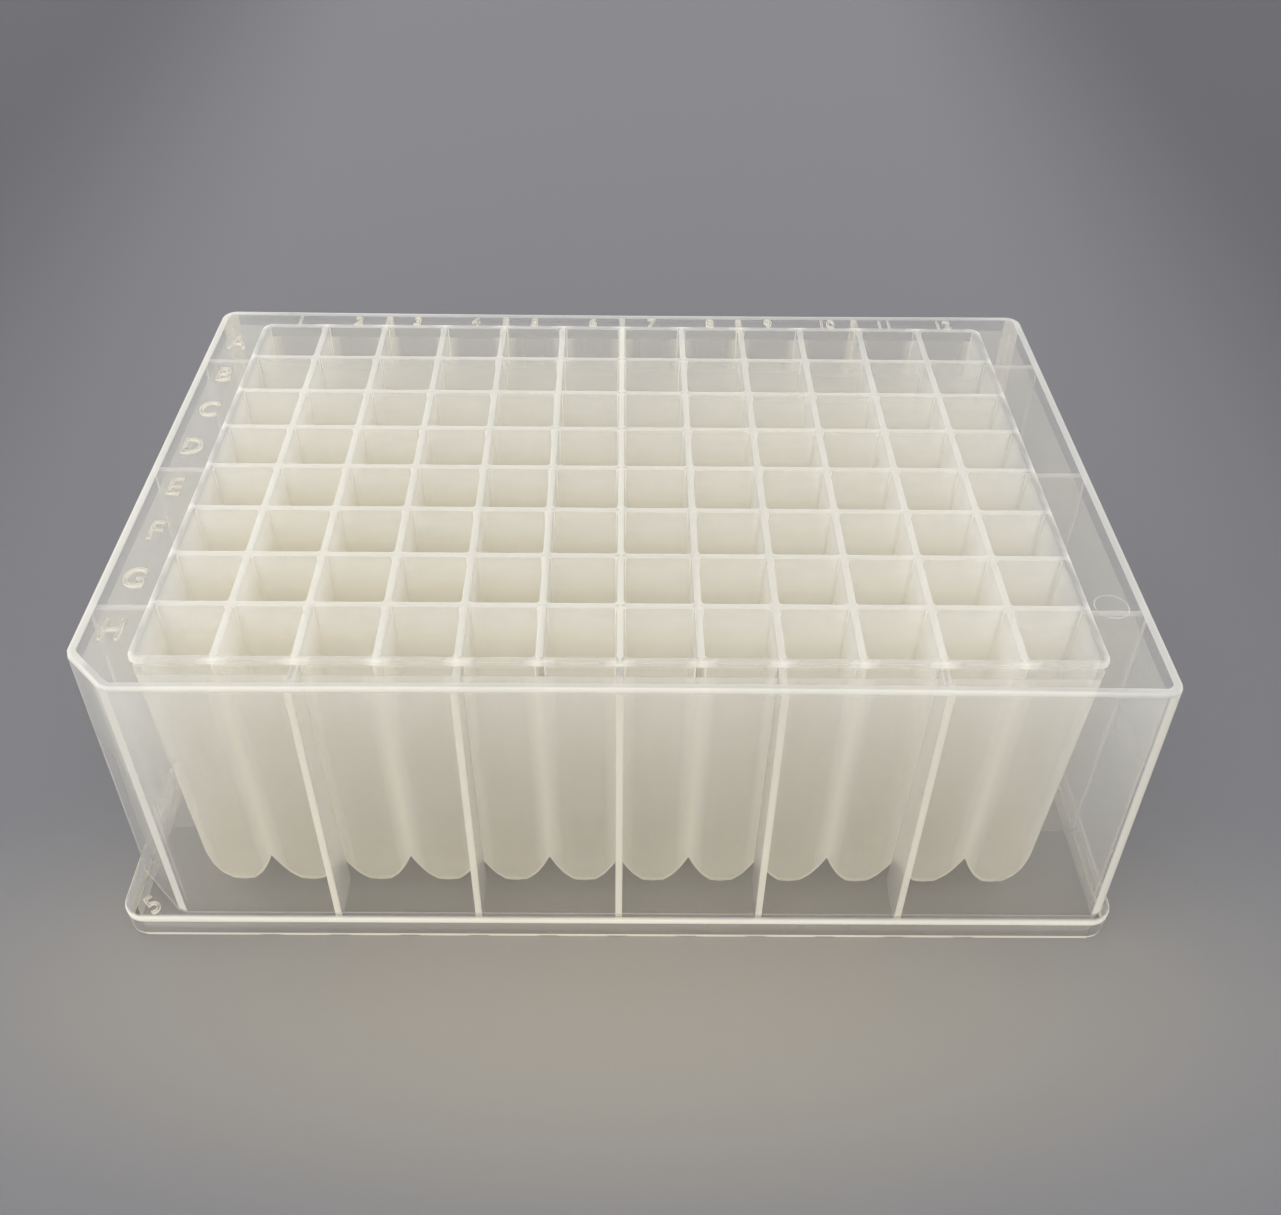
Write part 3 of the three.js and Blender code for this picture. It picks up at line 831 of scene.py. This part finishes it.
# The marks' tops are clear and their upright sides milky, a painted glint round their outlines
places = np.empty(len(markMesh.vertices) * 3, np.float32)
markMesh.vertices.foreach_get("co", places)
places = places.reshape(-1, 3) / metre
onDeck = places[:, 2] > deckTop / 2  # the others stand on the ledge
above = places[:, 2] - np.where(onDeck, deckTop, shell["flangeHeight"])
onTop = np.abs(above) > marks["relief"] - marks["edge"] / 4
milk = np.where(onTop, cloud["mark"], cloud["markGlint"])
ringX, ringY, ringRadius = marks["pinRing"]
fromRing = np.hypot(places[:, 0] - ringX, places[:, 1] - ringY) - ringRadius
milk = np.where(fromRing < marks["pinRingReach"], cloud["pinRing"], milk)
markCloud = markMesh.attributes.get("cloud") or markMesh.attributes.new("cloud", "FLOAT", "POINT")
markCloud.data.foreach_set("value", milk.astype(np.float32))
raisedMarks = addPiece(markMesh, "raised_marks", plastic)
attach(raisedMarks, "root")
print("marks:", len(markMesh.polygons), "faces")

# Floor and light, in metres
studio = {
    "floorSize": 6.0,
    "floorRoughness": 0.55,
    "floorShine": 0.1,
    "paintedLightSpot": (0.0, -0.05, 0.0),  # where the painted pool of light on the floor is brightest
    "nearShape": (0.35, 1.0, 1.0),   # below 1 the painted bright spot is longer along that axis
    "nearDepth": 0.046,      # over this far in Y it goes from its near to its far tone
    # painted pool of light near the plate, the floor's far tone, and painted shade towards the sides
    "paintedLightColour": (0.345, 0.322, 0.282, 1),
    "farColour": (0.19, 0.19, 0.205, 1),
    "paintedShadeColour": (0.105, 0.103, 0.113, 1),
    "sides": (0.08, 0.18),   # from the middle, between which the far tone fades to the painted side shade
    "skyColour": (1.0, 1.0, 1.0, 1),
    "skyStrength": 1.123,
    "skyLean": (-0.286, -0.298, 0.127),  # how much brighter the light is towards +X, +Y and +Z
}


def paleFloor():
    # Painted light and shade: tone = the painted light colour at the bright spot, eased over the
    # distance |(place - spot) * shape| to the far colour, which itself is eased over |x| to the
    # painted shade colour at the sides
    material = bpy.data.materials.new("floor")
    nodes = Nodes(material)
    place = nodes.add("ShaderNodeTexCoord").outputs["Object"]
    fromSpot = nodes.vector("SUBTRACT", place, studio["paintedLightSpot"]).outputs["Vector"]
    shaped = nodes.vector("MULTIPLY", fromSpot, studio["nearShape"]).outputs["Vector"]
    away = nodes.vector("LENGTH", shaped).outputs["Value"]
    x = nodes.add("ShaderNodeSeparateXYZ", {0: place}).outputs["X"]
    aside = nodes.fade(nodes.maths("ABSOLUTE", x), *studio["sides"], "SMOOTHSTEP")
    far = nodes.blend(studio["farColour"], studio["paintedShadeColour"], aside)
    farShare = nodes.fade(away, 0.0, studio["nearDepth"], "SMOOTHERSTEP")
    shader = nodes.tree.nodes["Principled BSDF"]
    shader.inputs["Roughness"].default_value = studio["floorRoughness"]
    shader.inputs["Specular IOR Level"].default_value = studio["floorShine"]
    tone = nodes.blend(studio["paintedLightColour"], far, farShare)
    nodes.tree.links.new(tone, shader.inputs["Base Color"])
    return material


reachOut = studio["floorSize"] / 2
floorCorners = [(x * reachOut, y * reachOut, 0) for x, y in ((-1, -1), (1, -1), (1, 1), (-1, 1))]
floorMesh = bpy.data.meshes.new("floor")
floorMesh.from_pydata(floorCorners, [], [(0, 1, 2, 3)])
floor = addPiece(floorMesh, "floor", paleFloor())

# The world lights everything: strength = skyStrength * (1 + lean . direction)
world = bpy.data.worlds.new("studio")
worldNodes = Nodes(world)
sky = worldNodes.tree.nodes["Background"]
sky.inputs["Color"].default_value = studio["skyColour"]
direction = worldNodes.add("ShaderNodeTexCoord").outputs["Generated"]
lean = worldNodes.vector("DOT_PRODUCT", direction, studio["skyLean"]).outputs["Value"]
strength = worldNodes.maths("MULTIPLY_ADD", lean, studio["skyStrength"], studio["skyStrength"])
worldNodes.tree.links.new(strength, sky.inputs["Strength"])
world.cycles.sampling_method = "NONE"
bpy.context.scene.world = world
print("floor and light ready")

# Camera: place in metres, turn in radians, lens and sensor in millimetres
view = {
    "place": (0.0, -0.13478, 0.1416),
    "turn": (0.8245, -0.0094, -0.0013),
    "lens": 35.32,
    "sensor": 36,
    "shift": (0.00846, 0.00849),
    "clip": (0.01, 20),
}
camera = bpy.data.cameras.new("camera")
camera.lens, camera.sensor_width = view["lens"], view["sensor"]
camera.shift_x, camera.shift_y = view["shift"]
camera.clip_start, camera.clip_end = view["clip"]
cameraObject = bpy.data.objects.new("camera", camera)
cameraObject.location, cameraObject.rotation_euler = view["place"], view["turn"]
bpy.context.scene.collection.objects.link(cameraObject)
bpy.context.scene.camera = cameraObject
bpy.context.scene.view_settings.view_transform = "Standard"
# Light crosses many thin walls, so it is followed through more of them than usual
bounces = {
    "transparent_max_bounces": 64,
    "max_bounces": 20,
    "diffuse_bounces": 20,
    "transmission_bounces": 20,
}
for key, value in bounces.items():
    setattr(bpy.context.scene.cycles, key, value)

print("scene ready")
